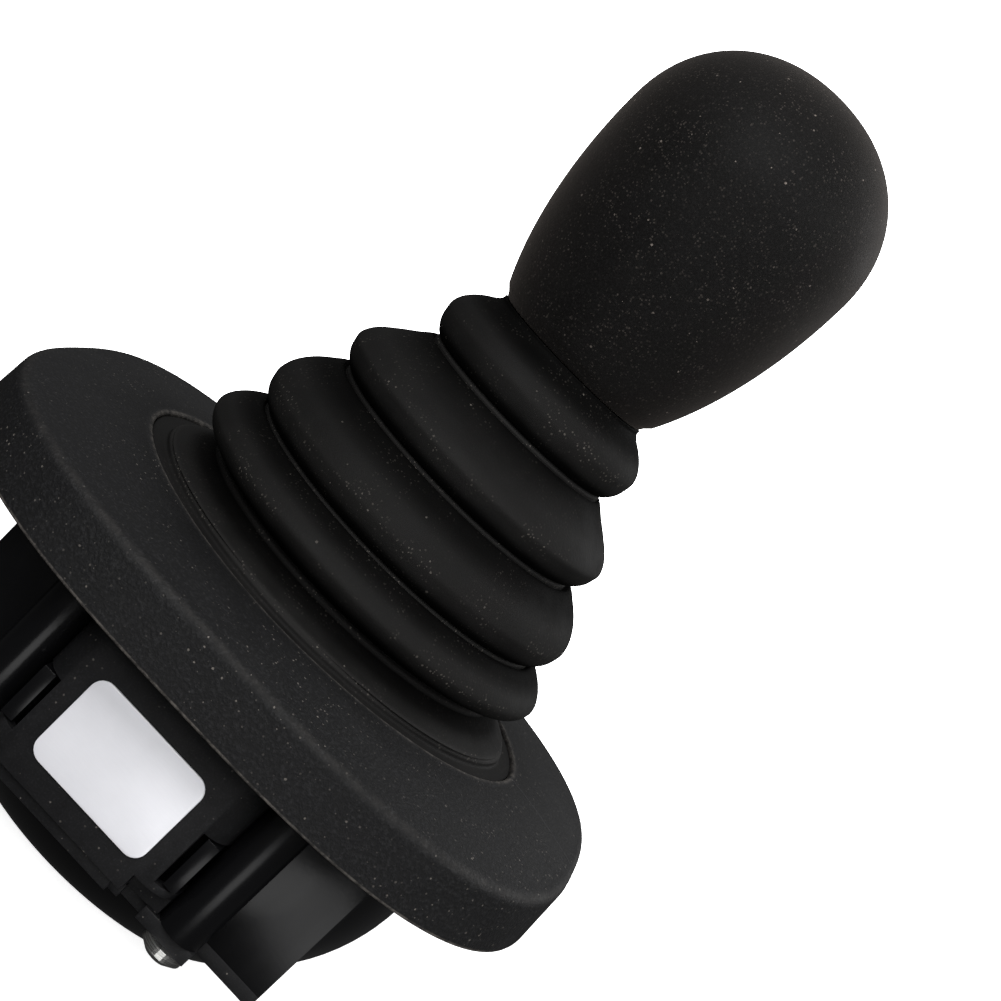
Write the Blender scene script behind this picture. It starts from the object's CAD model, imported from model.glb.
"""Looks of a panel-mount joystick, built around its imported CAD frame."""
import logging
import math
from dataclasses import dataclass, field
from enum import Enum
from typing import Iterable, Mapping, Sequence

import bmesh
import bpy
from mathutils import Matrix, Vector


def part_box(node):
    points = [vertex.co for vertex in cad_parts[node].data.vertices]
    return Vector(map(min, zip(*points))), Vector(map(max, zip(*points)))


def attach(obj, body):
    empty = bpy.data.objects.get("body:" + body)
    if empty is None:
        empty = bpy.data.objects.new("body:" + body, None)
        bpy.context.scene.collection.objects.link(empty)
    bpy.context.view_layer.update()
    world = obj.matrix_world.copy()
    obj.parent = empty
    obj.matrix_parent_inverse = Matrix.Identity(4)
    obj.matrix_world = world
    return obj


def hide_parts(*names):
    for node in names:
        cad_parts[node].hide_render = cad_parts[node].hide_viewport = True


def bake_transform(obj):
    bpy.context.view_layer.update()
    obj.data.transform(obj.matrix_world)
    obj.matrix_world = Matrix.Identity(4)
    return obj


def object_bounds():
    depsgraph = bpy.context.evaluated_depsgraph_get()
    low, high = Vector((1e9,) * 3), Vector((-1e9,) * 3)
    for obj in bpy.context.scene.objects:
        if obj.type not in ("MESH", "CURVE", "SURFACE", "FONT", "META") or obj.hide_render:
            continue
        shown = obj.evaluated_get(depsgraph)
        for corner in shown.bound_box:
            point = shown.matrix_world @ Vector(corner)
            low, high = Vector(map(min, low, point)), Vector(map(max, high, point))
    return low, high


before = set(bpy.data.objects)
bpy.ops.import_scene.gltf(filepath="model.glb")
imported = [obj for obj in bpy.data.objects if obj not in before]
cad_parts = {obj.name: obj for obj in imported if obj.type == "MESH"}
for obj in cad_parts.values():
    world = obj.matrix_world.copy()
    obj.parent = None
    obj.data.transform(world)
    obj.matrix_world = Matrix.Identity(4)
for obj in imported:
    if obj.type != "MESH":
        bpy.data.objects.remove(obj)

MM = 0.001
LOG = logging.getLogger("joystick")
CAD_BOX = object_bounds()
Colour = tuple[float, float, float]
Point = tuple[float, float, float]
Spot = tuple[float, float]
Knot = tuple[float, float, float]
Ring = tuple[float, float, float, float]


class Body(Enum):
    """The rigid bodies that pieces ride on."""

    BASE = "base"
    GIMBAL = "gimbal"
    LEVER = "lever"


class Head(Enum):
    """The two kinds of screw head."""

    PAN = "pan"
    FLAT = "flat"


class Axis(Enum):
    """The two axes that the lever tilts about."""

    ACROSS = "X"
    ALONG = "Y"


class Graph:
    """A node tree while it is being wired."""

    def __init__(self, tree: bpy.types.NodeTree) -> None:
        """Keeps the tree to wire."""
        self.tree = tree

    def add(self, kind: str, feeds: Mapping | None = None, **settings: object) -> bpy.types.Node:
        """Adds a node and feeds its sockets.

        Args:
            kind: Blender's type name of the node.
            feeds: Socket name or index to a value or to another node's output.
            settings: Properties of the node itself.

        Returns:
            The new node.
        """
        node = self.tree.nodes.new(kind)
        for key, value in settings.items():
            setattr(node, key, value)
        for key, value in (feeds or {}).items():
            self.feed(node.inputs[key], value)
        return node

    def feed(self, socket: bpy.types.NodeSocket, value: object) -> None:
        """Links an output to a socket, or sets the socket's own value.

        Args:
            socket: The input to feed.
            value: An output socket, or a plain value.
        """
        if isinstance(value, bpy.types.NodeSocket):
            self.tree.links.new(value, socket)
        else:
            socket.default_value = value

    def math(self, operation: str, *terms: object) -> bpy.types.NodeSocket:
        """The output of a math node with the named operation and its terms."""
        return self.add("ShaderNodeMath", dict(enumerate(terms)), operation=operation).outputs[0]

    def times(self, first: object, second: object) -> bpy.types.NodeSocket:
        """The product of two terms."""
        return self.math("MULTIPLY", first, second)

    def plus(self, first: object, second: object) -> bpy.types.NodeSocket:
        """The sum of two terms."""
        return self.math("ADD", first, second)

    def parts(self, vector: bpy.types.NodeSocket) -> tuple[bpy.types.NodeSocket, ...]:
        """The X, Y and Z outputs of a vector."""
        return tuple(self.add("ShaderNodeSeparateXYZ", {0: vector}).outputs)

    def joined(self, x: object, y: object, z: object) -> bpy.types.NodeSocket:
        """The vector of three numbers."""
        return self.add("ShaderNodeCombineXYZ", {0: x, 1: y, 2: z}).outputs[0]

    def attribute(self, name: str) -> bpy.types.Node:
        """A material's node that reads an attribute kept on the mesh."""
        return self.add("ShaderNodeAttribute", attribute_name=name)

    def in_mm(self, where: bpy.types.NodeSocket, stretch: Point = (1.0, 1.0, 1.0)) -> bpy.types.NodeSocket:
        """Coordinates in metres turned to millimetres, with an extra scale on each axis."""
        scale = tuple(s / MM for s in stretch)
        return self.add("ShaderNodeMapping", {"Vector": where, "Scale": scale}).outputs[0]

    def place(self, stretch: Point = (1.0, 1.0, 1.0)) -> bpy.types.NodeSocket:
        """The object's own coordinates in millimetres, with an extra scale on each axis."""
        return self.in_mm(self.add("ShaderNodeTexCoord").outputs["Object"], stretch)

    def rest_place(self) -> bpy.types.NodeSocket:
        """Coordinates in millimetres in a spun piece's rest shape, for pieces that bend."""
        return self.in_mm(self.attribute("rest").outputs["Vector"])

    def noise(self, at: bpy.types.NodeSocket, size: float, detail: float = 2.0,
              roughness: float = 0.5) -> bpy.types.NodeSocket:
        """Noise at coordinates in millimetres, with features of the given size."""
        feeds = {"Vector": at, "Scale": 1.0 / size, "Detail": detail, "Roughness": roughness}
        return self.add("ShaderNodeTexNoise", feeds).outputs["Fac"]

    def specks(self, at: bpy.types.NodeSocket, pitch: float, radius: float,
               share: float) -> bpy.types.NodeSocket:
        """Scattered dots.

        Args:
            at: Coordinates in millimetres.
            pitch: Mean distance between the cells that may hold a dot.
            radius: Radius of a dot as a share of the pitch.
            share: Share of the cells that hold one.

        Returns:
            Between 0.3 and 1.3 in a dot and 0 elsewhere.
        """
        cell = self.add("ShaderNodeTexVoronoi", {"Vector": at, "Scale": 1.0 / pitch})
        chance = self.parts(cell.outputs["Color"])
        picked = self.math("LESS_THAN", chance[0], share)
        reach = self.times(self.plus(chance[1], 0.5), radius)
        ragged = self.plus(self.noise(at, pitch * radius, 1.0), 0.5)
        inside = self.math("LESS_THAN", self.times(cell.outputs["Distance"], ragged), reach)
        return self.times(self.times(picked, inside), self.plus(chance[2], 0.3))

    def tone(self) -> tuple[bpy.types.NodeSocket, ...]:
        """How shaded and how dusty a spun piece's ring is, from 0 to 1, and 0 on other pieces."""
        kept = self.attribute("tone").outputs["Fac"]
        return self.span(kept, 0.0, -1.0), self.span(kept, 0.0, 1.0)

    def mould_line(self, at: bpy.types.NodeSocket, width: float, core: float = 0.05,
                   aside: float = 0.6) -> bpy.types.NodeSocket:
        """The line where a mould parts, from the middle out along X.

        Args:
            at: Coordinates in millimetres.
            width: Distance from the line's middle where it has faded away.
            core: Distance from its middle where it starts to fade.
            aside: How far the line lies from the X axis, towards -Y.

        Returns:
            1 on the line and 0 beside it.
        """
        x, y, _ = self.parts(at)
        line = self.span(self.math("ABSOLUTE", self.plus(y, aside)), core, width, 1.0, 0.0)
        return self.times(line, self.math("GREATER_THAN", x, 0.0))

    def span(self, value: bpy.types.NodeSocket, low: float, high: float, start: float = 0.0,
             end: float = 1.0) -> bpy.types.NodeSocket:
        """Maps the range from low to high smoothly to the range from start to end."""
        feeds = {"Value": value, "From Min": low, "From Max": high, "To Min": start, "To Max": end}
        return self.add("ShaderNodeMapRange", feeds, interpolation_type="SMOOTHSTEP").outputs[0]

    def tint(self, factor: bpy.types.NodeSocket, first: object, second: object) -> bpy.types.NodeSocket:
        """Mixes two colours.

        Args:
            factor: 0 for the first, 1 for the second.
            first: A colour or an output.
            second: A colour or an output.

        Returns:
            The colour output.
        """
        node = self.add("ShaderNodeMix", data_type="RGBA")
        sockets = [s for s in node.inputs if s.enabled]
        for socket, value in zip(sockets, (factor, first, second)):
            self.feed(socket, (*value, 1.0) if isinstance(value, tuple) else value)
        return next(s for s in node.outputs if s.enabled)

    def bump(self, height: bpy.types.NodeSocket, depth: float) -> bpy.types.NodeSocket:
        """A normal bumped by a height from 0 to 1, with its real depth in millimetres."""
        return self.add("ShaderNodeBump", {"Height": height, "Distance": depth * MM}).outputs[0]


class Paint(Graph):
    """A material's tree while it is being wired, with its shader's inputs."""

    def __init__(self, material: bpy.types.Material) -> None:
        """Keeps the material's tree and its shader's inputs."""
        super().__init__(material.node_tree)
        self.sockets = material.node_tree.nodes["Principled BSDF"].inputs


def shade(colour: Colour, factor: float) -> Colour:
    """A linear colour made lighter or darker by a factor."""
    return tuple(min(1.0, c * factor) for c in colour)


@dataclass(frozen=True)
class Finish:
    """What every finish shares: a name, the record's slot, a colour and how it takes the light."""

    name: str
    slot: str
    colour: Colour
    roughness: float = 0.5
    metallic: float = 0.0
    specular: float = 0.5

    def material(self) -> bpy.types.Material:
        """The finish as a material, made once.

        Returns:
            The material.
        """
        full_name = self.name + "_finish"
        found = bpy.data.materials.get(full_name)
        if found:
            return found
        made = bpy.data.materials.new(full_name)
        made.use_nodes = True
        made.diffuse_color = (*self.colour, 1.0)
        graph = Paint(made)
        graph.sockets["Metallic"].default_value = self.metallic
        graph.sockets["Specular IOR Level"].default_value = self.specular
        self.wire(graph)
        return made

    def wire(self, graph: Paint) -> None:
        """Wires the shader's inputs; each kind of finish does it in its own way."""
        raise NotImplementedError(type(self).__name__)

    def mottled(self, graph: Paint, pattern: bpy.types.NodeSocket, low: float,
                high: float) -> bpy.types.NodeSocket:
        """The finish's colour, times the low factor where a pattern is 0 and the high one where it is 1."""
        return graph.tint(pattern, shade(self.colour, low), shade(self.colour, high))

    def coat_with(self, graph: Paint, body: bpy.types.NodeSocket, gloss: bpy.types.NodeSocket,
                  swing: tuple[float, float], height: bpy.types.NodeSocket, depth: float) -> None:
        """Feeds the shader's colour, roughness and normal.

        Args:
            graph: The material's tree.
            body: The colour.
            gloss: Noise that the roughness follows.
            swing: How far the roughness goes below and above the finish's own.
            height: The bump, from 0 to 1.
            depth: The bump's real height in millimetres.
        """
        low, high = self.roughness - swing[0], self.roughness + swing[1]
        graph.feed(graph.sockets["Base Color"], body)
        graph.feed(graph.sockets["Roughness"], graph.span(gloss, 0.3, 0.7, low, high))
        graph.feed(graph.sockets["Normal"], graph.bump(height, depth))


@dataclass(frozen=True)
class GrainedPlastic(Finish):
    """Spark-eroded moulded plastic with light dust, scuffed edges and an optional mould line."""

    grain: float = 0.32
    relief: float = 0.05
    dust: Colour = (0.11, 0.1, 0.09)
    dust_share: float = 0.009
    edge_wear: float = 0.35
    seam: bool = False

    def wire(self, graph: Paint) -> None:
        """Wires grain, clouds, dust, worn edges and the mould line.

        Args:
            graph: The material's tree.
        """
        at = graph.place()
        cloud = graph.noise(at, 9.0, 4.0, 0.6)
        fine = graph.noise(at, self.grain, 3.0, 0.6)
        body = self.mottled(graph, cloud, 0.82, 1.22)
        body = graph.tint(graph.times(graph.span(fine, 0.48, 0.7), 0.6), body, shade(self.colour, 2.8))
        crest = graph.span(graph.add("ShaderNodeNewGeometry").outputs["Pointiness"], 0.515, 0.56)
        rub = graph.times(crest, graph.span(graph.noise(at, 2.4, 4.0, 0.7), 0.35, 0.7, 0.25, 1.0))
        body = graph.tint(graph.times(rub, self.edge_wear), body, shade(self.colour, 4.0))
        shaded, dusty = graph.tone()
        body = graph.tint(shaded, body, shade(self.colour, 0.3))
        worn = graph.times(dusty, graph.span(graph.noise(at, 1.3, 4.0, 0.75), 0.36, 0.66, 0.15, 0.9))
        body = graph.tint(worn, body, self.dust)
        patch = graph.span(graph.noise(at, 14.0, 2.0), 0.45, 0.65, 0.25, 1.0)
        settled = graph.times(graph.specks(at, 0.45, 0.2, self.dust_share * 25), patch)
        coarse = graph.specks(at, 2.2, 0.05, self.dust_share * 35)
        dots = graph.math("MAXIMUM", settled, coarse)
        body = graph.tint(dots, body, self.dust)
        height = fine
        if self.seam:
            line = graph.mould_line(at, 0.22)
            height = graph.plus(height, graph.times(line, 1.2))
            body = graph.tint(graph.times(line, 0.8), body, shade(self.colour, 4.5))
        self.coat_with(graph, body, cloud, (0.06, 0.06), height, self.relief)


@dataclass(frozen=True)
class SoftTouch(Finish):
    """Rubbery paint with a fine pale speckle and a faint warm sheen."""

    speckle: Colour = (0.06, 0.052, 0.046)
    sheen: float = 0.1
    sheen_tint: Colour = (0.75, 0.66, 0.6)

    def wire(self, graph: Paint) -> None:
        """Wires the speckle, faint clouds and pores.

        Args:
            graph: The material's tree.
        """
        at = graph.place()
        cloud = graph.noise(at, 8.0, 3.0, 0.55)
        body = self.mottled(graph, graph.span(cloud, 0.3, 0.7), 0.75, 1.3)
        fine = graph.specks(at, 0.3, 0.32, 0.4)
        bright = graph.specks(at, 1.1, 0.09, 0.3)
        rest = graph.span(graph.noise(at, 6.0, 3.0), 0.35, 0.65, 0.3, 1.0)
        pores = graph.noise(at, 0.26, 3.0, 0.65)
        body = graph.tint(graph.times(graph.span(pores, 0.42, 0.68), 0.6), body, shade(self.colour, 3.4))
        body = graph.tint(graph.times(fine, graph.times(rest, 0.45)), body, self.speckle)
        body = graph.tint(bright, body, shade(self.speckle, 2.2))
        self.coat_with(graph, body, cloud, (0.05, 0.05), pores, 0.035)
        graph.sockets["Sheen Weight"].default_value = self.sheen
        graph.sockets["Sheen Roughness"].default_value = 0.45
        graph.sockets["Sheen Tint"].default_value = (*self.sheen_tint, 1.0)


@dataclass(frozen=True)
class MouldedRubber(Finish):
    """Satin rubber, darker in its creases, with a bloom of dust and a fine mould skin."""

    skin: float = 0.4
    relief: float = 0.03
    dust: Colour = (0.068, 0.062, 0.055)
    seam: bool = False
    bends: bool = False

    def wire(self, graph: Paint) -> None:
        """Wires bloom, creases, rub marks and the mould line.

        Args:
            graph: The material's tree.
        """
        at = graph.rest_place() if self.bends else graph.place()
        cloud = graph.noise(at, 7.0, 4.0, 0.6)
        body = self.mottled(graph, graph.span(cloud, 0.3, 0.7), 0.8, 1.2)
        shaded, dusty = graph.tone()
        body = graph.tint(graph.times(shaded, 0.8), body, shade(self.colour, 0.1))
        body = graph.tint(graph.times(dusty, 0.4), body, shade(self.colour, 3.2))
        bloom = graph.span(graph.noise(at, 7.0, 3.0), 0.42, 0.6)
        bloom = graph.times(bloom, graph.span(dusty, 0.0, 0.5, 0.15))
        dust = graph.times(graph.specks(at, 0.36, 0.26, 0.5), bloom)
        body = graph.tint(graph.math("MAXIMUM", dust, graph.specks(at, 2.0, 0.055, 0.3)), body, self.dust)
        height = graph.noise(at, self.skin, 3.0, 0.55)
        if self.seam:
            line = graph.mould_line(at, 0.18)
            height = graph.plus(height, graph.times(line, 2.5))
            body = graph.tint(graph.times(line, 0.6), body, shade(self.colour, 3.0))
        if self.bends:
            dulled = graph.span(shaded, 0.0, 1.0, self.specular, self.specular * 0.3)
            graph.feed(graph.sockets["Specular IOR Level"], dulled)
        self.coat_with(graph, body, cloud, (0.07, 0.07), height, self.relief)


@dataclass(frozen=True)
class SatinPlastic(Finish):
    """Smooth moulded plastic with faint flow marks and a little dust."""

    coat: float = 0.05

    def wire(self, graph: Paint) -> None:
        """Wires flow marks, smears and specks.

        Args:
            graph: The material's tree.
        """
        at = graph.place()
        flow = graph.noise(graph.place((1.0, 1.0, 0.25)), 5.0, 3.0, 0.6)
        body = self.mottled(graph, flow, 0.8, 1.2)
        dots = graph.specks(at, 2.2, 0.05, 0.1)
        body = graph.tint(graph.times(dots, 0.6), body, shade(self.colour, 6.0))
        self.coat_with(graph, body, flow, (0.03, 0.04), graph.noise(at, 0.5, 3.0), 0.006)
        graph.sockets["Coat Weight"].default_value = self.coat
        graph.sockets["Coat Roughness"].default_value = 0.25


@dataclass(frozen=True)
class CastMetal(Finish):
    """Die-cast metal: mottled, pitted and slightly dull."""

    def wire(self, graph: Paint) -> None:
        """Wires the mottle, the pits and the cast skin.

        Args:
            graph: The material's tree.
        """
        at = graph.place()
        cloud = graph.noise(at, 3.0, 5.0, 0.65)
        skin = graph.noise(at, 0.35, 4.0, 0.6)
        pitted = graph.math("SUBTRACT", skin, graph.specks(at, 1.1, 0.1, 0.08))
        self.coat_with(graph, self.mottled(graph, cloud, 0.82, 1.15), cloud, (0.06, 0.08), pitted, 0.02)


@dataclass(frozen=True)
class TurnedMetal(Finish):
    """Machined metal with fine tool marks along one direction."""

    stretch: Point = (0.25, 0.25, 8.0)

    def wire(self, graph: Paint) -> None:
        """Wires the tool marks and a little staining.

        Args:
            graph: The material's tree.
        """
        marks = graph.noise(graph.place(self.stretch), 1.0, 4.0, 0.7)
        stain = graph.noise(graph.place(), 2.5, 3.0)
        self.coat_with(graph, self.mottled(graph, stain, 0.75, 1.15), marks, (0.08, 0.12), marks, 0.002)


@dataclass(frozen=True)
class BoardLacquer(Finish):
    """Circuit board: lacquer over tracks and plated holes."""

    roughness: float = 0.275
    copper: Colour = (0.05, 0.2, 0.08)
    plating: Colour = (0.5, 0.36, 0.12)

    def wire(self, graph: Paint) -> None:
        """Wires the tracks, the holes and the gloss.

        Args:
            graph: The material's tree.
        """
        at = graph.place()
        x, y, z = graph.parts(at)
        across = graph.plus(x, graph.times(graph.plus(y, z), 0.5))
        lanes = graph.math("PINGPONG", across, 0.65)
        track = graph.times(graph.math("LESS_THAN", lanes, 0.22),
                           graph.math("GREATER_THAN", graph.noise(at, 4.0, 0.0), 0.5))
        holes = graph.specks(at, 2.4, 0.16, 0.4)
        body = graph.tint(track, self.colour, self.copper)
        body = graph.tint(holes, body, self.plating)
        self.coat_with(graph, body, graph.noise(at, 3.0), (0.075, 0.075), track, 0.03)


@dataclass(frozen=True)
class RibbonFilm(Finish):
    """Amber film with copper conductors that run its length."""

    roughness: float = 0.225
    pitch: float = 1.0
    copper: Colour = (0.5, 0.2, 0.07)

    def wire(self, graph: Paint) -> None:
        """Wires the conductors and the clear film.

        Args:
            graph: The material's tree.
        """
        at = graph.place()
        lane = graph.math("PINGPONG", graph.parts(at)[0], self.pitch / 2)
        conductor = graph.math("LESS_THAN", lane, self.pitch * 0.28)
        body = graph.tint(conductor, self.colour, self.copper)
        self.coat_with(graph, body, graph.noise(at, 2.0), (0.075, 0.075), conductor, 0.02)


@dataclass(frozen=True)
class Foil(Finish):
    """Bare silver foil with a fine grain across and a soft mottle."""

    def wire(self, graph: Paint) -> None:
        """Wires the brushed grain and a few light marks.

        Args:
            graph: The material's tree.
        """
        grain = graph.noise(graph.place((0.06, 1.0, 1.0)), 0.12, 3.0, 0.6)
        cloud = graph.noise(graph.place(), 5.0, 3.0)
        body = self.mottled(graph, cloud, 0.93, 1.05)
        body = graph.tint(graph.times(grain, 0.25), body, shade(self.colour, 0.8))
        self.coat_with(graph, body, grain, (0.07, 0.07), grain, 0.004)


BEZEL_PLASTIC = GrainedPlastic("grained_bezel", "bezel_plastic", (0.0064, 0.0064, 0.0067), 0.64,
                               specular=0.13, grain=0.42, relief=0.13, seam=True)
BOX_PLASTIC = GrainedPlastic("grained_box", "black_plastic", (0.0056, 0.0056, 0.006), 0.5, specular=0.16,
                             grain=0.25, relief=0.012, edge_wear=0.2, dust_share=0.003)
SATIN = SatinPlastic("satin_housing", "satin_plastic", (0.0032, 0.0032, 0.0036), 0.22, specular=0.3)
BELLOWS = MouldedRubber("bellows_rubber", "bellows_rubber", (0.0055, 0.0053, 0.0051), 0.72, specular=0.1,
                        seam=True, bends=True)
SEAL = MouldedRubber("seal_rubber", "seal_rubber", (0.01, 0.01, 0.01), 0.65, specular=0.4)
KNOB = SoftTouch("knob_paint", "soft_touch", (0.0024, 0.0023, 0.0023), 0.66, specular=0.09)
LABEL = Foil("label_foil", "label_silver", (0.86, 0.86, 0.9), 0.4, metallic=0.2)
DIE_CAST = CastMetal("die_cast", "die_cast", (0.5, 0.51, 0.53), 0.42, metallic=1.0)
PLATED = TurnedMetal("plated_steel", "plated_steel", (0.6, 0.6, 0.58), 0.28, metallic=1.0)
GROUND = TurnedMetal("ground_steel", "ground_steel", (0.6, 0.6, 0.62), 0.22, metallic=1.0)
TURNED = TurnedMetal("turned_steel", "turned_steel", (0.52, 0.53, 0.55), 0.3, metallic=1.0)
WIRE = TurnedMetal("spring_wire", "spring_steel", (0.33, 0.33, 0.35), 0.32, metallic=1.0, stretch=(1, 1, 1))
BRONZE = CastMetal("bush_bronze", "bush_bronze", (0.45, 0.3, 0.13), 0.38, metallic=1.0)
BRASS = TurnedMetal("contact_brass", "contact_brass", (0.72, 0.53, 0.22), 0.25, metallic=1.0)
NICKEL = TurnedMetal("magnet_nickel", "magnet_nickel", (0.6, 0.59, 0.56), 0.16, metallic=1.0,
                     stretch=(1, 1, 1))
NYLON = SatinPlastic("header_nylon", "header_nylon", (0.68, 0.64, 0.54), 0.4)
BOARD = BoardLacquer("board_lacquer", "board_green", (0.008, 0.075, 0.03))
CHIP = GrainedPlastic("chip_moulding", "chip_black", (0.014, 0.014, 0.015), 0.5, grain=0.15, relief=0.01,
                      dust_share=0.001, edge_wear=0.1)
FILM = RibbonFilm("ribbon_film", "flex_amber", (0.42, 0.19, 0.03))

# Radius and height of a screw's head for each thread radius, in millimetres
HEADS = {1.0: (1.9, 1.3), 1.25: (2.3, 1.6), 1.5: (2.75, 1.9)}


def shown(name: str, data: bpy.types.ID) -> bpy.types.Object:
    """Puts a mesh, a light or a camera in the scene.

    Args:
        name: The object's name.
        data: What the object shows.

    Returns:
        The new object.
    """
    made = bpy.data.objects.new(name, data)
    bpy.context.scene.collection.objects.link(made)
    return made


def solved(piece: bpy.types.Object, name: str) -> bpy.types.Mesh:
    """The plain mesh that a piece's modifiers leave.

    Args:
        piece: The object with its modifiers.
        name: Name of the new mesh.

    Returns:
        The mesh.
    """
    bpy.context.view_layer.update()
    whole = piece.evaluated_get(bpy.context.evaluated_depsgraph_get())
    mesh = bpy.data.meshes.new_from_object(whole)
    mesh.name = name
    return mesh


def finished(piece: bpy.types.Object, finish: Finish, stands_for: str, *bodies: Body,
             bend: tuple[float, float] = (0.0, 0.0)) -> bpy.types.Object:
    """Gives a new piece its finish, its body or bodies and the node that it stands for.

    Args:
        piece: The new object, at the origin.
        finish: Its finish.
        stands_for: The CAD node that it replaces.
        bodies: The body that it rides on, or the two that it bends between.
        bend: Heights in millimetres where it leaves the first body and reaches the second.

    Returns:
        The same piece.
    """
    piece.data.materials.clear()
    piece.data.materials.append(finish.material())
    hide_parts(stands_for)
    if len(bodies) == 1:
        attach(piece, bodies[0].value)
    else:
        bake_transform(piece)
    LOG.info("%s: %d faces, %s, on %s", piece.name, len(piece.data.polygons), finish.name,
             " and ".join(body.value for body in bodies))
    return piece


def dress_nodes(finish: Finish, *nodes: str) -> None:
    """Gives CAD nodes a finish.

    Args:
        finish: The finish.
        nodes: The nodes' names.
    """
    for name in nodes:
        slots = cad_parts[name].data.materials
        slots.clear()
        slots.append(finish.material())
        LOG.info("%s: CAD node, %s", name, finish.name)


def curve_through(knots: Sequence[Spot], steps: int) -> list[Spot]:
    """A smooth curve through points, its slope at each point weighed by the distances to both neighbours.

    Args:
        knots: The points to pass through, in order.
        steps: Points made for each stretch.

    Returns:
        The points of the curve, both ends included.
    """
    ends = [knots[0], *knots, knots[-1]]
    made: list[Spot] = []
    for a, b, c, d in zip(ends, ends[1:], ends[2:], ends[3:]):
        va, vb, vc, vd = (Vector(p) for p in (a, b, c, d))
        size = (vc - vb).length
        before, after = max((vb - va).length, 1e-6), max((vd - vc).length, 1e-6)
        leave = (vc - va) * (size / (before + size)) if (vb - va).length else (vc - vb)
        reach = (vd - vb) * (size / (after + size)) if (vd - vc).length else (vc - vb)
        for i in range(steps):
            t = i / steps
            point = (vb * (2 * t**3 - 3 * t**2 + 1) + leave * (t**3 - 2 * t**2 + t)
                     + vc * (3 * t**2 - 2 * t**3) + reach * (t**3 - t**2))
            made.append((point.x, point.y))
    return [*made, tuple(knots[-1])]


def path_object(name: str, points: Iterable[Point], **kept: Sequence[float]) -> bpy.types.Object:
    """A line of points in millimetres, for a tree to sweep or spin.

    Args:
        name: Name of the object.
        points: The points.
        kept: Numbers that the tree reads at each point, such as how square the outline is.

    Returns:
        The object, linked to the scene.
    """
    coords = [tuple(c * MM for c in p) for p in points]
    mesh = bpy.data.meshes.new(name)
    mesh.from_pydata(coords, [(i, i + 1) for i in range(len(coords) - 1)], [])
    for key, values in kept.items():
        mesh.attributes.new(key, "FLOAT", "POINT").data.foreach_set("value", list(values))
    return shown(name, mesh)


class Tree:
    """A Geometry Nodes tree with named inputs, and the way to run it."""

    def __init__(self, name: str, inputs: Mapping[str, str]) -> None:
        """Makes the tree and its sockets.

        Args:
            name: The tree's name.
            inputs: Socket name to Blender's socket type.
        """
        self.group = bpy.data.node_groups.new(name, "GeometryNodeTree")
        self.graph = Graph(self.group)
        face = self.group.interface
        face.new_socket("Geometry", in_out="INPUT", socket_type="NodeSocketGeometry")
        sockets = {**inputs, "Material": "NodeSocketMaterial"}
        self.keys = {key: face.new_socket(key, in_out="INPUT", socket_type=kind).identifier
                     for key, kind in sockets.items()}
        face.new_socket("Geometry", in_out="OUTPUT", socket_type="NodeSocketGeometry")
        self.given = self.graph.add("NodeGroupInput").outputs

    def close(self, geometry: bpy.types.NodeSocket) -> None:
        """Ends the tree with realized instances and the material.

        Args:
            geometry: What the tree has made.
        """
        real = self.graph.add("GeometryNodeRealizeInstances", {0: geometry}).outputs[0]
        feeds = {"Geometry": real, "Material": self.given["Material"]}
        self.graph.add("NodeGroupOutput", {0: self.graph.add("GeometryNodeSetMaterial", feeds).outputs[0]})

    def run(self, name: str, source: bpy.types.Object, finish: Finish, **values: object) -> bpy.types.Object:
        """Runs the tree on an object and keeps the result as a plain mesh.

        Args:
            name: Name of the new piece.
            source: The object that the tree starts from; it is removed.
            finish: Finish for the material input.
            values: Values of the named inputs, with _ for a space.

        Returns:
            The new piece at the origin.
        """
        modifier = source.modifiers.new("tree", "NODES")
        modifier.node_group = self.group
        modifier[self.keys["Material"]] = finish.material()
        for key, value in values.items():
            modifier[self.keys[key.replace("_", " ")]] = value
        source.update_tag()
        mesh = solved(source, name)
        source.modifiers.clear()
        bpy.data.objects.remove(source)
        return tidied(shown(name, mesh))


def tidied(piece: bpy.types.Object, merge: float = 1e-7) -> bpy.types.Object:
    """Merges doubles and points the faces outwards.

    Args:
        piece: The object to tidy.
        merge: Distance under which points are one, in metres.

    Returns:
        The same object.
    """
    work = bmesh.new()
    work.from_mesh(piece.data)
    bmesh.ops.remove_doubles(work, verts=work.verts, dist=merge)
    bmesh.ops.dissolve_degenerate(work, edges=work.edges, dist=merge)
    bmesh.ops.recalc_face_normals(work, faces=work.faces)
    work.to_mesh(piece.data)
    work.free()
    return piece


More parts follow.
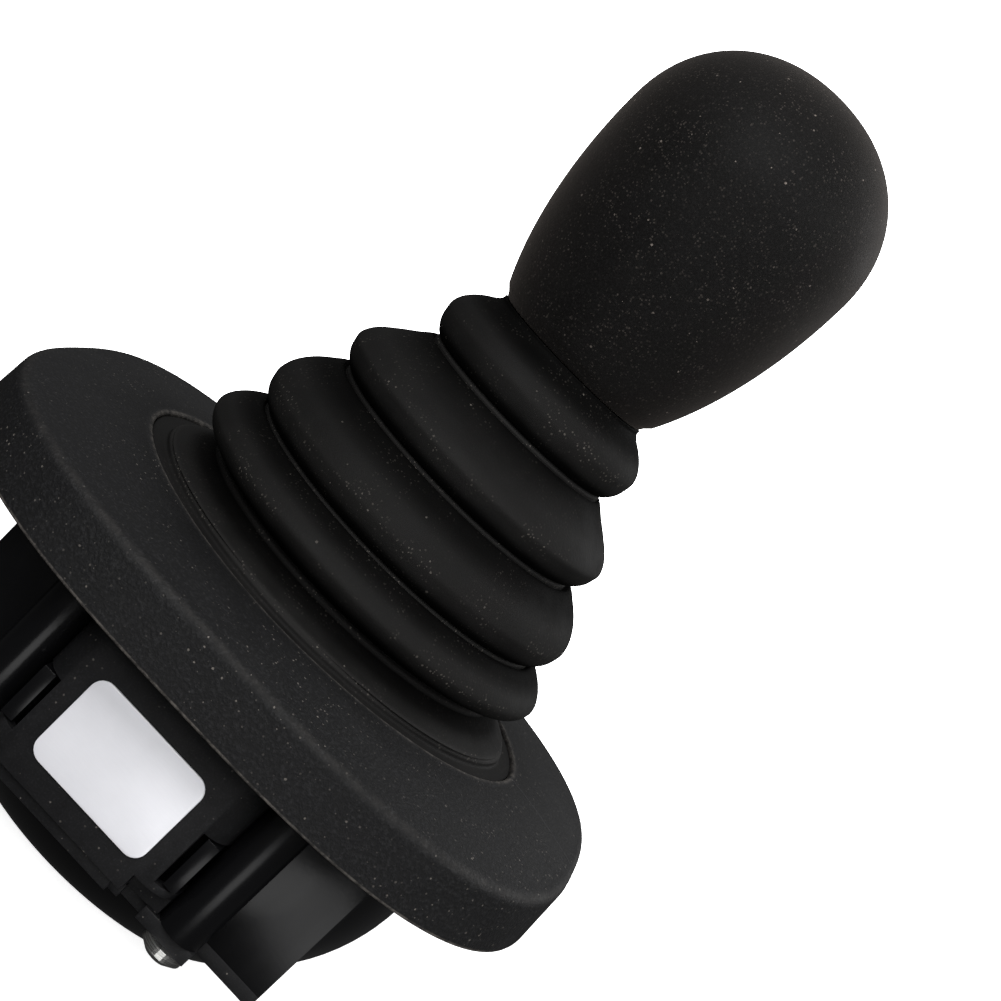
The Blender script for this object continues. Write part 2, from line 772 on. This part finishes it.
def spin_tree() -> Tree:
    """The tree that spins a half section round Z, round or squarish at each height.

    Returns:
        The tree.
    """
    tree = Tree("spun_section", {"Sides": "NodeSocketInt"})
    graph, given = tree.graph, tree.given
    count = graph.add("GeometryNodeAttributeDomainSize", {0: given["Geometry"]}).outputs["Point Count"]
    around = graph.plus(given["Sides"], 1.0)
    grid = graph.add("GeometryNodeMeshGrid", {"Vertices X": around, "Vertices Y": count})
    at = graph.add("GeometryNodeInputPosition").outputs[0]
    x, y, _ = graph.parts(at)
    angle = graph.times(graph.plus(x, 0.5), math.tau)
    step = graph.math("ROUND", graph.times(graph.plus(y, 0.5), graph.math("SUBTRACT", count, 1.0)))

    def sampled(kind: str, value: bpy.types.NodeSocket) -> bpy.types.NodeSocket:
        """A value of the half section's own point at this step."""
        feeds = {0: given["Geometry"], "Value": value, "Index": step}
        return graph.add("GeometryNodeSampleIndex", feeds, data_type=kind).outputs[0]

    def named(key: str) -> bpy.types.NodeSocket:
        """A number kept on the half section's points."""
        return graph.add("GeometryNodeInputNamedAttribute", {"Name": key}, data_type="FLOAT").outputs[0]

    power, tone = sampled("FLOAT", named("power")), sampled("FLOAT", named("tone"))
    radius, _, height = graph.parts(sampled("FLOAT_VECTOR", at))
    cos, sin = graph.math("COSINE", angle), graph.math("SINE", angle)
    sides = [graph.math("POWER", graph.math("ABSOLUTE", v), power) for v in (cos, sin)]
    norm = graph.math("POWER", graph.plus(*sides), graph.math("DIVIDE", 1.0, power))
    reach = graph.math("DIVIDE", radius, norm)
    where = graph.joined(graph.times(reach, cos), graph.times(reach, sin), height)
    kept = grid.outputs[0]
    for key, kind, value in (("tone", "FLOAT", tone), ("rest", "FLOAT_VECTOR", where)):
        feeds = {"Geometry": kept, "Name": key, "Value": value}
        kept = graph.add("GeometryNodeStoreNamedAttribute", feeds, data_type=kind).outputs[0]
    moved = graph.add("GeometryNodeSetPosition", {"Geometry": kept, "Position": where}).outputs[0]
    joined = graph.add("GeometryNodeMergeByDistance", {"Geometry": moved, "Distance": 1e-6}).outputs[0]
    tree.close(graph.add("GeometryNodeSetShadeSmooth", {0: joined}).outputs[0])
    return tree


def sweep_tree() -> Tree:
    """The tree that sweeps a round wire along a line of points.

    Returns:
        The tree.
    """
    tree = Tree("swept_wire", {"Wire Radius": "NodeSocketFloat", "Sides": "NodeSocketInt"})
    graph, given = tree.graph, tree.given
    line = graph.add("GeometryNodeMeshToCurve", {0: given["Geometry"]}).outputs[0]
    ring = graph.add("GeometryNodeCurvePrimitiveCircle",
                     {"Resolution": given["Sides"], "Radius": given["Wire Radius"]}).outputs[0]
    tube = graph.add("GeometryNodeCurveToMesh", {0: line, 1: ring, "Fill Caps": True}).outputs[0]
    tree.close(graph.add("GeometryNodeSetShadeSmooth", {0: tube}).outputs[0])
    return tree


def screw_tree() -> Tree:
    """The tree that puts a cross-recessed screw on each point, its shank along the point's direction.

    Returns:
        The tree.
    """
    sizes = ("Crown Radius", "Head Radius", "Under Radius", "Crown Height", "Rim Height", "Under Height",
             "Shank Radius", "Shank Length", "Recess Width")
    tree = Tree("screw_set", {name: "NodeSocketFloat" for name in sizes})
    graph, given = tree.graph, tree.given

    def cone(bottom: object, top: object, height: object, at: object) -> bpy.types.NodeSocket:
        """A closed cone from one height up.

        Args:
            bottom: Radius below.
            top: Radius above.
            height: Its height.
            at: Height of its lower end.

        Returns:
            The moved mesh.
        """
        shape = graph.add("GeometryNodeMeshCone",
                          {"Vertices": 40, "Radius Top": top, "Radius Bottom": bottom, "Depth": height})
        place = {"Geometry": shape.outputs["Mesh"], "Translation": graph.joined(0.0, 0.0, at)}
        return graph.add("GeometryNodeTransform", place).outputs[0]

    crown, rim, under = given["Crown Height"], given["Rim Height"], given["Under Height"]
    rim_low = graph.times(rim, -1.0)
    crown_low = graph.math("SUBTRACT", rim_low, crown)
    head = [cone(given["Crown Radius"], given["Head Radius"], crown, crown_low),
            cone(given["Head Radius"], given["Head Radius"], graph.plus(rim, 1e-6), rim_low),
            cone(given["Head Radius"], given["Under Radius"], graph.plus(under, 1e-6), 0.0),
            cone(given["Shank Radius"], given["Shank Radius"], given["Shank Length"], 0.0)]
    union = graph.add("GeometryNodeMeshBoolean", operation="UNION")
    for part in head:
        graph.tree.links.new(part, union.inputs["Mesh 2"])
    cut = graph.add("GeometryNodeMeshBoolean", {"Mesh 1": union.outputs[0]}, operation="DIFFERENCE")
    long = graph.times(given["Head Radius"], 1.25)
    deep = graph.times(graph.plus(crown, rim), 1.3)
    for turned in (False, True):
        size = graph.joined(given["Recess Width"], long, deep) if turned else graph.joined(
            long, given["Recess Width"], deep)
        bar = graph.add("GeometryNodeMeshCube", {"Size": size}).outputs["Mesh"]
        moved = graph.add("GeometryNodeTransform",
                          {"Geometry": bar, "Translation": graph.joined(0.0, 0.0, crown_low)}).outputs[0]
        graph.tree.links.new(moved, cut.inputs["Mesh 2"])
    aim = graph.add("GeometryNodeInputNamedAttribute", {"Name": "aim"}, data_type="FLOAT_VECTOR").outputs[0]
    turn = graph.add("FunctionNodeAlignRotationToVector", {"Vector": aim}, axis="Z").outputs[0]
    set_down = graph.add("GeometryNodeInstanceOnPoints",
                         {"Points": given["Geometry"], "Instance": cut.outputs["Mesh"], "Rotation": turn})
    tree.close(set_down.outputs[0])
    return tree


@dataclass
class Workshop:
    """The trees that the sub-assemblies share, made once."""

    spin: Tree
    sweep: Tree
    screws: Tree

    @classmethod
    def opened(cls) -> "Workshop":
        """A workshop with its three trees."""
        return cls(spin_tree(), sweep_tree(), screw_tree())

    def spun(self, name: str, section: Sequence[Spot], finish: Finish, sides: int = 192,
             powers: Sequence[float] = (), tones: Sequence[float] = ()) -> bpy.types.Object:
        """Spins a half section to a piece.

        Args:
            name: The piece's name.
            section: Radius and height of each point, in millimetres.
            finish: The piece's finish.
            sides: Steps round the axis.
            powers: How square each point's ring is; 2 is round.
            tones: How shaded (below 0) or dusty (above 0) each ring is.

        Returns:
            The piece.
        """
        kept = {"power": powers or [2.0] * len(section), "tone": tones or [0.0] * len(section)}
        line = path_object(name + "_line", [(r, 0.0, z) for r, z in section], **kept)
        return self.spin.run(name, line, finish, Sides=sides)

    def screw_set(self, name: str, spots: Sequence[Spot], thread: float, head: Head,
                  stands_for: str, up: bool = True) -> bpy.types.Object:
        """Makes a set of equal screws on the base, as tall as the CAD node that it replaces.

        Args:
            name: The piece's name.
            spots: Where the screws are across, in millimetres.
            thread: Thread radius in millimetres.
            head: The kind of head.
            stands_for: The CAD node.
            up: Whether the shanks point up from their heads.

        Returns:
            The piece.
        """
        wide, tall = HEADS[thread]
        pan = head is Head.PAN
        low, high = (corner.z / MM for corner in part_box(stands_for))
        sunk = tall if pan else 0.0
        seat = low + sunk if up else high - sunk
        points = path_object(name + "_points", [(x, y, seat) for x, y in spots])
        aims = points.data.attributes.new("aim", "FLOAT_VECTOR", "POINT").data
        aims.foreach_set("vector", [0.0, 0.0, 1.0 if up else -1.0] * len(spots))
        length = high - seat if up else seat - low
        sizes = {"Crown_Radius": wide * 0.62 if pan else wide, "Head_Radius": wide,
                 "Under_Radius": wide if pan else thread, "Crown_Height": tall * 0.42 if pan else 0.04,
                 "Rim_Height": tall * 0.56 if pan else 0.02, "Under_Height": 0.0 if pan else wide - thread,
                 "Shank_Radius": thread, "Shank_Length": length, "Recess_Width": wide * 0.26}
        piece = self.screws.run(name, points, PLATED, **{k: v * MM for k, v in sizes.items()})
        return finished(piece, PLATED, stands_for, Body.BASE)


def eased(name: str, node: str, finish: Finish, width: float) -> bpy.types.Object:
    """A copy of one of the base's CAD nodes with its sharp edges broken, standing for the node.

    Args:
        name: The piece's name.
        node: The CAD node to copy.
        finish: Its finish.
        width: Width of the broken edge in millimetres.

    Returns:
        The piece.
    """
    work = bmesh.new()
    work.from_mesh(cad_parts[node].data)
    bmesh.ops.remove_doubles(work, verts=work.verts, dist=2e-6)
    bmesh.ops.dissolve_limit(work, angle_limit=math.radians(1.0), verts=work.verts, edges=work.edges)
    mesh = bpy.data.meshes.new(name)
    work.to_mesh(mesh)
    work.free()
    made = shown(name, mesh)
    bevel = made.modifiers.new("edges", "BEVEL")
    bevel.width = width * MM
    bevel.segments = 2
    bevel.limit_method = "ANGLE"
    bevel.angle_limit = math.radians(38.0)
    bevel.use_clamp_overlap = True
    bevel.harden_normals = False
    made.data, rough_cut = solved(made, name), made.data
    made.modifiers.clear()
    bpy.data.meshes.remove(rough_cut)
    for face in made.data.polygons:
        face.use_smooth = True
    made.data.set_sharp_from_angle(angle=math.radians(34.0))
    return finished(made, finish, node, Body.BASE)


@dataclass
class Knob:
    """Egg-shaped knob with its brass insert and the nut below it."""

    width: float = 35.0
    crown: float = 16.6
    stem: float = 27.1
    foot: float = 23.0
    bore: float = 6.05
    bore_depth: float = 17.2
    edge: float = 0.8
    fullness: float = 0.93
    steps: int = 40

    def section(self, low: float) -> list[Spot]:
        """Half section from the bore's end round to the pole.

        Args:
            low: Height of the foot in millimetres.

        Returns:
            Radius and height of each point.
        """
        share = self.foot / self.width
        reach = self.stem / math.sqrt(1 - share * share)
        wide = low + self.stem
        points = [(0.0, low + self.bore_depth), (self.bore, low + self.bore_depth), (self.bore, low)]
        points += [(self.foot / 2 - self.edge + self.edge * math.sin(a), low + self.edge * (1 - math.cos(a)))
                   for a in (math.radians(d) for d in range(0, 76, 15))]
        for i in range(1, self.steps):
            height = self.stem * (1 - i / self.steps)
            if self.stem - height > self.edge:
                points.append((self.width / 2 * math.sqrt(1 - (height / reach) ** 2), wide - height))
        for i in range(self.steps):
            a = math.pi / 2 * i / self.steps
            out, up = (value ** self.fullness for value in (math.cos(a), math.sin(a)))
            points.append((self.width / 2 * out, wide + self.crown * up))
        return [*points, (0.0, wide + self.crown)]

    def build(self, shop: Workshop) -> None:
        """Builds the knob.

        Args:
            shop: The shared trees.
        """
        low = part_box("knob")[0].z / MM
        piece = shop.spun("knob_shell", self.section(low), KNOB)
        finished(piece, KNOB, "knob", Body.LEVER)

    def dress(self) -> None:
        """Finishes the metal inside the knob."""
        dress_nodes(BRASS, "knob_insert")
        dress_nodes(PLATED, "lock_nut")


@dataclass
class Bellows:
    """Ribbed rubber bellows, in two pieces so that it follows both tilts."""

    folds: tuple[Spot, ...] = ((15.4, 5.0), (20.5, 15.4), (24.3, 25.3), (26.8, 33.0))
    valleys: tuple[Spot, ...] = ((13.5, 8.9), (18.3, 19.0), (22.0, 29.0), (22.3, 36.2))
    neck: float = 11.4
    bead: float = 0.22
    wall: float = 1.3
    apron: float = 28.2
    opening: float = 30.5
    flange: float = 32.7
    flange_drop: float = 3.7
    foot_bore: float = 25.0
    bore: float = 8.0
    least_inside: float = 9.4
    square: float = 1.9
    pieces: list[tuple] = field(default_factory=list)

    def fold_knots(self, top: float, index: int) -> list[Knot]:
        """Knots of one fold: a long upper flank, a round crest and a tight undercut.

        Args:
            top: Height of the knob's foot.
            index: Which fold, from the top.

        Returns:
            Radius, height and tone of each knot, from the valley above to the one below.
        """
        crest_r, crest_d = self.folds[index]
        above = self.valleys[index - 1] if index else (self.neck, 0.9)
        below = self.valleys[index]
        rise, drop = crest_d - above[1], below[1] - crest_d
        grow, shrink = crest_r - above[0], crest_r - below[0]
        upper = [(0.17, 0.06, -0.95), (0.44, 0.24, -0.8), (0.72, 0.48, -0.45), (0.92, 0.75, 0.1)]
        if index == 1:  # the second fold has a straighter flank above its crest
            upper = [(0.1, 0.08, -0.9), (0.33, 0.28, -0.6), (0.62, 0.52, -0.35), (0.88, 0.77, 0.1)]
        lower = [(0.06, 0.3, 0.3), (0.2, 0.56, -0.2), (0.5, 0.8, -0.9), (0.78, 0.93, -1.0)]
        knots = [(above[0] + grow * r, top - above[1] - rise * d, tone) for r, d, tone in upper]
        knots.append((crest_r, top - crest_d, 0.55))
        return knots + [(crest_r - shrink * r, top - crest_d - drop * d, tone) for r, d, tone in lower]

    def bead_knots(self, top: float, index: int) -> list[Knot]:
        """Knots of the fine bead that stands in a valley.

        Args:
            top: Height of the knob's foot.
            index: Which valley, from the top.

        Returns:
            Radius, height and tone of each knot; the second is the valley itself.
        """
        r, drop = self.valleys[index]
        z = top - drop
        high = self.bead
        return [(r, z + 0.35, -1.0), (r + 0.06, z + 0.1, -0.6), (r + high, z - 0.12, 0.8),
                (r + high * 1.25, z - 0.34, 1.0), (r + high * 1.1, z - 0.52, 0.5),
                (r + high * 1.2, z - 0.68, -0.6)]

    def outside(self, top: float, rim: float) -> tuple[list[Spot], list[float], int]:
        """Outer line from the neck to the groove, and where it splits.

        Args:
            top: Height of the knob's foot.
            rim: Height of the bezel's opening edge.

        Returns:
            The points, their tones, and the index of the valley where the two pieces meet.
        """
        knots = [(self.neck, top - 0.05, -1.0), (self.neck + 0.05, top - 0.5, -1.0)]
        split = 0
        for i in range(4):
            knots += self.fold_knots(top, i)
            if i < 3:
                knots += self.bead_knots(top, i)
            if i == 1:
                split = len(knots) - 5  # the valley's own knot, second of the bead's six
        edge = self.apron
        knots += [(22.4, rim + 3.9, -0.6), (22.7, rim + 3.5, 0.8), (22.9, rim + 3.2, 0.3),
                  (23.2, rim + 3.0, -0.9), (24.6, rim + 2.2, -0.8), (26.2, rim + 1.5, -0.3),
                  (27.4, rim + 1.0, 0.2), (edge - 0.3, rim + 0.62, 1.0), (edge, rim + 0.3, 0.5),
                  (edge + 0.06, rim - 0.1, -0.3), (edge + 0.25, rim - 0.3, 0.0),
                  (edge + 0.6, rim - 0.36, 0.2), (edge + 1.4, rim - 0.36, 0.2),
                  (self.opening - 0.12, rim - 0.4, -0.5), (self.opening - 0.06, rim - 0.7, -1.0)]
        steps = 5
        pairs = zip(knots, knots[1:])
        tones = [a[2] + (b[2] - a[2]) * i / steps for a, b in pairs for i in range(steps)] + [knots[-1][2]]
        return curve_through([k[:2] for k in knots], steps), tones, split * steps

    def build(self, shop: Workshop) -> None:
        """Builds both pieces, each a closed half section spun round.

        Args:
            shop: The shared trees.
        """
        top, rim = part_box("knob")[0].z / MM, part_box("bezel")[1].z / MM
        line, tones, split = self.outside(top, rim)
        kept = dict(zip(line, tones))
        inner = [(max(r - self.wall, self.least_inside), z) for r, z in line if z > rim + 3.0]
        cut = min(split, len(inner) - 1)
        collar = [(self.bore, top - 3.0), (self.bore, top - 0.05)]
        upper = line[:split + 1] + [p for p in reversed(inner[:cut + 1]) if p[1] < top - 3.4] + collar
        floor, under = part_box("mounting_plate")[1].z / MM, rim - self.flange_drop
        foot = [(self.opening - 0.06, under), (self.flange, under), (self.flange, floor),
                (self.foot_bore, floor), (self.foot_bore, rim + 0.4), (22.0, rim + 2.2)]
        lower = line[split:] + foot + list(reversed(inner[cut:]))
        seat = line[split][1]
        for name, section, pair, ends in (
                ("bellows_upper", upper, (Body.GIMBAL, Body.LEVER), (seat, top - 2.0)),
                ("bellows_lower", lower, (Body.BASE, Body.GIMBAL), (rim + 3.0, seat))):
            section = [*section, section[0]]
            powers = [self.square if r > self.apron - 0.4 and z < rim + 0.7 else 2.0 for r, z in section]
            toned = [kept.get(point, 0.0) for point in section]
            piece = shop.spun(name, section, BELLOWS, powers=powers, tones=toned)
            self.pieces.append((piece, pair, ends))

    def dress(self) -> None:
        """Gives both pieces their rubber and bends them between the bodies."""
        for piece, pair, ends in self.pieces:
            finished(piece, BELLOWS, "bellows", *pair, bend=ends)


@dataclass
class Bezel:
    """Square cover with a round opening, and its screws from below."""

    half: float = 44.5
    draft: float = 0.5
    height: float = 8.3
    rise: float = 1.9
    opening: float = 30.5
    wall: float = 2.2
    edge: float = 1.5
    lip: float = 0.4
    square: float = 2.8
    round: float = 1.9
    screw_at: tuple[float, float] = (34.0, 12.0)

    def section(self) -> list[Ring]:
        """Closed half section of the cover.

        Returns:
            Radius, height, squareness and tone of each ring, the first one again at the end.
        """
        square, foot, wide = self.square, self.half + self.draft, self.half - self.edge
        burr, straight = 0.28, self.height - self.edge
        rings = [(self.half - self.wall, 0.0, square, 0.0), (foot - 0.25, 0.0, square, 0.0),
                 (foot - 0.06, 0.07, square, 1.0), (foot, burr, square, 0.9),
                 (foot - 0.01, 0.45, square, 0.0)]
        for i in range(1, 5):
            t = i / 5
            rings.append((self.half + self.draft * (1 - t), burr + (straight - burr) * t, square, 0.0))
        for i in range(9):
            a = math.radians(90.0 * i / 8)
            rings.append((wide + self.edge * math.cos(a), self.height - self.edge * (1 - math.sin(a)), square,
                          0.2 * math.sin(2 * a) ** 2))
        inner, top = self.opening + self.lip, self.height + self.rise
        for i in range(1, 15):
            t = i / 15
            swell = 0.25 * math.sin(math.pi * t)
            rings.append((wide * (1 - t) + inner * t, self.height + self.rise * t + swell,
                          square * (1 - t) + self.round * t, min(0.0, 0.3 - 0.8 * t)))
        for i in range(6):
            a = math.radians(90.0 * i / 5)
            rings.append((inner - self.lip * math.sin(a), top - self.lip * (1 - math.cos(a)), self.round,
                          0.55))
        ceiling = self.height - 1.8
        rings += [(self.opening, ceiling + 0.3, self.round, 0.0),
                  (self.opening + 0.3, ceiling, self.round, 0.0),
                  (self.half - self.wall - 0.6, ceiling, square, 0.0),
                  (self.half - self.wall, ceiling - 0.6, square, 0.0)]
        return [*rings, rings[0]]

    def build(self, shop: Workshop) -> None:
        """Builds the cover and its screws.

        Args:
            shop: The shared trees.
        """
        rings = self.section()
        shell = shop.spun("bezel_shell", [ring[:2] for ring in rings], BEZEL_PLASTIC, 320,
                          [ring[2] for ring in rings], [ring[3] for ring in rings])
        finished(shell, BEZEL_PLASTIC, "bezel", Body.BASE)
        turns = [math.radians(a) for a in (0, 90, 180, 270)]
        out, aside = self.screw_at
        spots = [(out * math.cos(a) + aside * math.sin(a), out * math.sin(a) - aside * math.cos(a))
                 for a in turns]
        shop.screw_set("bezel_screw_set", spots, 1.25, Head.FLAT, "bezel_screws")

    def dress(self) -> None:
        """Finishes the plate and the seal under the bezel."""
        dress_nodes(SEAL, "panel_seal")
        eased("mounting_plate_cast", "mounting_plate", DIE_CAST, 0.2)


@dataclass
class Housing:
    """Round housing, its front box, label, bottom cover and screws."""

    ear_at: float = 35.0
    column_x: float = 16.9
    column_y: float = 32.6

    def build(self, shop: Workshop) -> None:
        """Builds the housing's screws.

        Args:
            shop: The shared trees.
        """
        columns = [(side * self.column_x, -self.column_y) for side in (-1, 1)]
        shop.screw_set("cover_screw_set", columns, 1.5, Head.PAN, "cover_screws")
        ears = [(self.ear_at * x, self.ear_at * y) for x, y in ((1, 0), (0, 1), (-1, 0))]
        shop.screw_set("housing_screw_set", ears, 1.5, Head.PAN, "housing_screws")

    def dress(self) -> None:
        """Breaks the edges of the mouldings and finishes them."""
        eased("housing_moulding", "body_housing", SATIN, 0.3)
        eased("box_moulding", "box_cover", BOX_PLASTIC, 0.35)
        eased("bottom_moulding", "bottom_cover", BOX_PLASTIC, 0.3)
        eased("label_blank", "label_plate", LABEL, 0.08)


@dataclass
class Electronics:
    """Boards, sensors, ribbon and wiring header."""

    board_screws_at: float = 17.0

    def build(self, shop: Workshop) -> None:
        """Builds the small screws of the boards.

        Args:
            shop: The shared trees.
        """
        turns = [math.radians(a) for a in (90, 210, 330)]
        spots = [(self.board_screws_at * math.cos(a), self.board_screws_at * math.sin(a)) for a in turns]
        shop.screw_set("sensor_screw_set", spots, 1.0, Head.PAN, "sensor_board_screws", up=False)

    def dress(self) -> None:
        """Finishes the boards and what is on them."""
        dress_nodes(BOARD, "control_board", "sensor_board")
        dress_nodes(CHIP, "control_board_chips", "hall_sensors")
        dress_nodes(PLATED, "control_board_screws")
        dress_nodes(FILM, "flex_link")
        dress_nodes(BRASS, "connector_pins")
        eased("header_moulding", "connector_header", NYLON, 0.1)


@dataclass(frozen=True)
class SpringPair:
    """Two equal scissor springs on one axis, whose legs hug a driven and a held pin."""

    name: str
    driven: Body
    held: Body
    axis: Axis
    coil: float
    inner: float
    outer: float
    leg: float
    legs_up: bool
    bend: tuple[float, float]
    wire: float = 0.45
    pin: float = 0.9
    slack: float = 0.02
    turns: int = 2
    steps: int = 28

    def line(self) -> list[Point]:
        """Line of one spring about X, its legs down.

        Returns:
            The points, in millimetres from the pivot.
        """
        side = self.pin + self.wire + self.slack
        lean = math.degrees(math.asin(side / self.coil))
        sweep = 360.0 * self.turns + 2 * lean
        count = self.steps * self.turns
        line: list[Point] = []
        for i in range(count + 1):
            a = math.radians(-90 - lean + sweep * i / count)
            along = self.inner + (self.outer - self.inner) * i / count
            line.append((along, self.coil * math.cos(a), self.coil * math.sin(a)))
        first, last = line[0], line[-1]
        return [(*first[:2], -self.leg), *line, (*last[:2], -self.leg)]

    def placed(self, point: Point, sign: int, pivot: float) -> Point:
        """Turns a spring's point to its place.

        Args:
            point: The point about X, from the pivot.
            sign: 1 for the right spring and -1 for the left one.
            pivot: Height of the pivot.

        Returns:
            The point in the shared frame.
        """
        x, y, z = point
        height = pivot + (-z if self.legs_up else z)
        return (sign * x, y, height) if self.axis is Axis.ACROSS else (y, sign * x, height)


@dataclass
class Gimbal:
    """Frame, gimbal ring, hub, gate and the four scissor springs."""

    pivot: float = -6.0
    pairs: tuple[SpringPair, ...] = (
        SpringPair("ring_spring", Body.GIMBAL, Body.BASE, Axis.ACROSS, coil=3.6, inner=17.4, outer=19.55,
                   leg=9.9, legs_up=False, bend=(-7.0, -8.4)),
        SpringPair("hub_spring", Body.LEVER, Body.GIMBAL, Axis.ALONG, coil=3.35, inner=8.25, outer=10.7,
                   leg=9.4, legs_up=True, bend=(6.6, 7.9)))

    def build(self, shop: Workshop) -> None:
        """Builds the springs.

        Args:
            shop: The shared trees.
        """
        for pair in self.pairs:
            bend = tuple(self.pivot + height for height in pair.bend)
            for label, sign in (("right", 1), ("left", -1)):
                points = [pair.placed(point, sign, self.pivot) for point in pair.line()]
                path = path_object(pair.name + "_path", points)
                piece = shop.sweep.run(f"{pair.name}_{label}", path, WIRE, Sides=12,
                                       Wire_Radius=pair.wire * MM)
                finished(piece, WIRE, pair.name + "s", pair.driven, pair.held, bend=bend)

    def dress(self) -> None:
        """Finishes the castings, pins, bushes and screws."""
        dress_nodes(DIE_CAST, "gimbal_frame", "gimbal_ring", "lever_hub")
        dress_nodes(GROUND, "frame_spring_pins", "ring_pins", "ring_drive_pins", "ring_anchor_pins",
                    "hub_pins", "hub_drive_pins", "shaft_lock_pin")
        dress_nodes(BRONZE, "frame_bushes", "ring_bushes")
        dress_nodes(TURNED, "gate_plate", "lever_shaft")
        dress_nodes(PLATED, "frame_screws", "gate_screws")
        dress_nodes(NICKEL, "magnet")
        dress_nodes(CHIP, "magnet_holder")


@dataclass
class Studio:
    """Floor, soft lights, pale surroundings and the camera.

    Places are in metres, the lens and its sensor in millimetres, turn and elevation in radians, and the
    roll in degrees. The lens is shifted by a share of the picture's width.
    """

    turn: float = 0.055
    elevation: float = 0.15
    roll: float = 44.15
    distance: float = 0.26683
    across: float = 0.005651
    above: float = 0.03145
    lens: float = 78.114
    sensor: float = 36.0
    shift: tuple[float, float] = (0.004995, 0.003796)
    floor_r: float = 0.9
    floor_gap: float = 0.0004

    def camera(self) -> None:
        """Sets the camera."""
        right = Vector((1, 0, 0))
        up = Vector((0, math.sin(self.elevation), math.cos(self.elevation)))
        ahead = Vector((0, math.cos(self.elevation), -math.sin(self.elevation)))
        roll = math.radians(self.roll)
        spot = right * self.across + up * self.above - ahead * self.distance
        side = right * math.sin(roll) + up * math.cos(roll)
        top = up * math.sin(roll) - right * math.cos(roll)
        stand = Matrix([(*row, 0.0) for row in zip(side, top, -ahead)] + [(0, 0, 0, 1)])
        data = bpy.data.cameras.new("camera")
        data.lens = self.lens
        data.sensor_width = self.sensor
        data.clip_start = 0.01
        data.shift_x, data.shift_y = self.shift
        camera = shown("camera", data)
        camera.matrix_world = Matrix.Rotation(self.turn, 4, "Z") @ Matrix.Translation(spot) @ stand
        bpy.context.scene.camera = camera

    def softbox(self, name: str, at: Point, target: Point, size: tuple[float, float], power: float) -> None:
        """Adds a large soft light.

        Args:
            name: Its name.
            at: Where it stands, in metres.
            target: What it points at.
            size: Width and height.
            power: Power in watts.
        """
        data = bpy.data.lights.new(name, "AREA")
        data.shape = "RECTANGLE"
        data.size, data.size_y = size
        data.energy = power
        lamp = shown(name, data)
        lamp.location = at
        lamp.rotation_euler = (Vector(target) - Vector(at)).to_track_quat("-Z", "Y").to_euler()

    def surroundings(self) -> None:
        """Sets pale surroundings that look white to the camera and softer to the object."""
        world = bpy.data.worlds.new("studio")
        bpy.context.scene.world = world
        world.use_nodes = True
        graph = Graph(world.node_tree)
        world.node_tree.nodes.clear()
        seen = graph.add("ShaderNodeLightPath").outputs["Is Camera Ray"]
        up = graph.parts(graph.add("ShaderNodeTexCoord").outputs["Generated"])[2]
        glow = graph.span(up, -0.15, 0.9, 0.04, 0.42)
        strength = graph.plus(graph.times(seen, 4.0), glow)
        sky = graph.add("ShaderNodeBackground", {"Color": (1, 1, 1, 1), "Strength": strength}).outputs[0]
        graph.add("ShaderNodeOutputWorld", {0: sky})

    def floor(self) -> None:
        """Adds the pale floor, which melts into the surroundings far out."""
        work = bmesh.new()
        bmesh.ops.create_circle(work, cap_ends=True, radius=self.floor_r, segments=96)
        mesh = bpy.data.meshes.new("floor")
        work.to_mesh(mesh)
        work.free()
        mesh.transform(Matrix.Translation((0, 0, CAD_BOX[0][2] - self.floor_gap)))
        disc = shown("floor", mesh)
        paint = bpy.data.materials.new("floor_paint")
        paint.use_nodes = True
        graph = Graph(paint.node_tree)
        paint.node_tree.nodes.clear()
        matte = graph.add("ShaderNodeBsdfDiffuse", {"Color": (0.8, 0.8, 0.8, 1)}).outputs[0]
        clear = graph.add("ShaderNodeBsdfTransparent").outputs[0]
        glow = graph.add("ShaderNodeEmission", {"Strength": 0.8}).outputs[0]
        seen = graph.add("ShaderNodeLightPath").outputs["Is Camera Ray"]
        lift = graph.add("ShaderNodeMixShader", {0: seen, 1: clear, 2: glow}).outputs[0]
        lit = graph.add("ShaderNodeAddShader", {0: matte, 1: lift}).outputs[0]
        x, y, _ = graph.parts(graph.add("ShaderNodeTexCoord").outputs["Object"])
        far = graph.math("SQRT", graph.plus(graph.times(x, x), graph.times(y, y)))
        below = graph.add("ShaderNodeNewGeometry").outputs["Backfacing"]
        unseen = graph.math("MAXIMUM", graph.math("SUBTRACT", 1.0, seen), below)
        fade = graph.math("MAXIMUM", graph.span(far, 0.06, 0.3), unseen)
        mixed = graph.add("ShaderNodeMixShader", {0: fade, 1: lit, 2: clear}).outputs[0]
        graph.add("ShaderNodeOutputMaterial", {0: mixed})
        mesh.materials.append(paint)

    def build(self) -> None:
        """Builds the whole studio."""
        self.camera()
        self.surroundings()
        self.floor()
        self.softbox("key", (-0.15, -0.6, 0.5), (0, 0, 0.03), (0.6, 0.6), 7.5)
        self.softbox("fill", (0.7, -0.35, 0.42), (0, 0, 0.02), (0.5, 0.5), 4.2)
        self.softbox("low", (0.2, -0.6, -0.23), (0.02, -0.03, -0.02), (0.32, 0.3), 0.55)
        self.softbox("rim", (0.5, 0.45, 0.4), (0, 0, 0.04), (0.5, 0.5), 2.0)
        bpy.context.scene.view_settings.view_transform = "Standard"


def main() -> None:
    """Builds the studio and every sub-assembly."""
    logging.basicConfig(level=logging.INFO, format="%(name)s: %(message)s")
    Studio().build()
    shop = Workshop.opened()
    for assembly in (Knob(), Bellows(), Bezel(), Housing(), Electronics(), Gimbal()):
        assembly.build(shop)
        assembly.dress()


if __name__ == "__main__":
    main()
